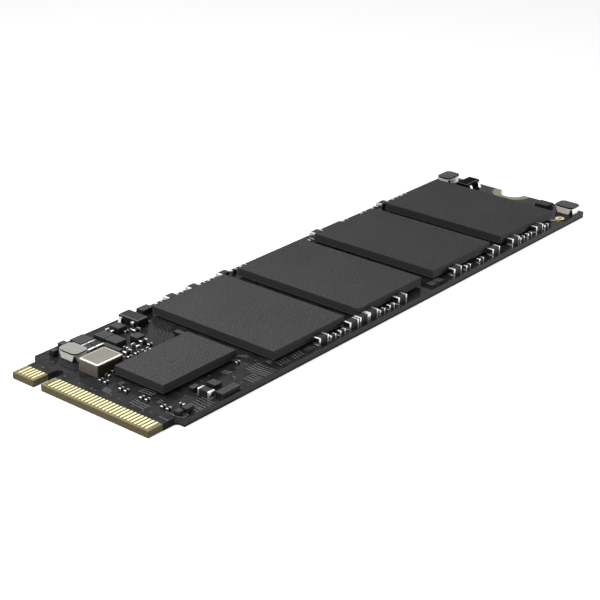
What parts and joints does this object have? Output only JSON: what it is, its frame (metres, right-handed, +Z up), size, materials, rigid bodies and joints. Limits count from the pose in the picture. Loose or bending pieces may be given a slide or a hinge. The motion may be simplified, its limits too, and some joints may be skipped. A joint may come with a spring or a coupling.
{
  "type": "gumstick solid state drive",
  "caption": "Slim keyed card with a controller, flash memory packages and small power parts on one face, a gold edge connector and a half-round screw notch.",
  "frame": {"origin": "middle of the card's underside, which is the middle of the bottom of its bounding box", "axes": "+X from the connector edge to the screw end, +Y across the card towards the key notch, +Z up out of the face that carries the parts"},
  "size_m": [0.08, 0.022, 0.0022],
  "materials": {
    "solder_mask": "satin black solder mask over glass-epoxy laminate",
    "gold_plate": "hard gold plate",
    "plated_land": "dull plated land",
    "moulded_epoxy": "matt moulded epoxy, fine grained",
    "package_substrate": "dark laminate",
    "silicon": "polished silicon",
    "solder": "reflowed tin solder",
    "tin_plate": "satin tin plate",
    "nickel_can": "warm grey nickel-iron sheet",
    "alumina": "fired ceramic",
    "quartz": "lapped quartz",
    "ferrite": "ground ferrite",
    "copper_wire": "enamelled copper",
    "pale_resin": "cream resin",
    "barium_ceramic": "dark fired ceramic",
    "resistor_glaze": "dark glaze"
  },
  "bodies": {
    "root": {"chip_pads": "tin_plate", "circuit_board": "solder_mask", "contact_fingers_bottom": "gold_plate", "contact_fingers_top": "gold_plate", "controller_die": "silicon", "controller_mould_cap": "moulded_epoxy", "controller_solder_balls": "solder", "controller_substrate": "package_substrate", "crystal_base": "alumina", "crystal_can": "nickel_can", "flash_1_die_stack": "silicon", "flash_1_mould_cap": "moulded_epoxy", "flash_1_solder_balls": "solder", "flash_1_substrate": "package_substrate", "flash_2_die_stack": "silicon", "flash_2_mould_cap": "moulded_epoxy", "flash_2_solder_balls": "solder", "flash_2_substrate": "package_substrate", "flash_3_die_stack": "silicon", "flash_3_mould_cap": "moulded_epoxy", "flash_3_solder_balls": "solder", "flash_3_substrate": "package_substrate", "flash_4_die_stack": "silicon", "flash_4_mould_cap": "moulded_epoxy", "flash_4_solder_balls": "solder", "flash_4_substrate": "package_substrate", "flat_part_bodies": "moulded_epoxy", "flat_part_pads": "tin_plate", "inductor_1_core": "ferrite", "inductor_1_jacket": "pale_resin", "inductor_1_winding": "copper_wire", "inductor_2_core": "ferrite", "inductor_2_jacket": "pale_resin", "inductor_2_winding": "copper_wire", "inductor_3_core": "ferrite", "inductor_3_jacket": "pale_resin", "inductor_3_winding": "copper_wire", "inductor_terminals": "tin_plate", "large_capacitor_bodies": "barium_ceramic", "large_capacitor_terminals": "tin_plate", "load_switch_1": "moulded_epoxy", "load_switch_2": "moulded_epoxy", "load_switch_3": "moulded_epoxy", "memory_chip": "moulded_epoxy", "plated_hole_lining": "gold_plate", "power_stage_chip_1": "moulded_epoxy", "power_stage_chip_2": "moulded_epoxy", "quartz_blank": "quartz", "regulator_1_body": "moulded_epoxy", "regulator_1_leads": "tin_plate", "regulator_2_body": "moulded_epoxy", "regulator_2_leads": "tin_plate", "resistor_bodies": "resistor_glaze", "resistor_terminals": "tin_plate", "screw_notch_plating": "plated_land", "sensor_chip": "moulded_epoxy", "small_capacitor_bodies": "barium_ceramic", "small_capacitor_terminals": "tin_plate", "tiny_capacitor_bodies": "barium_ceramic", "tiny_capacitor_terminals": "tin_plate"}
  },
  "joints": []
}
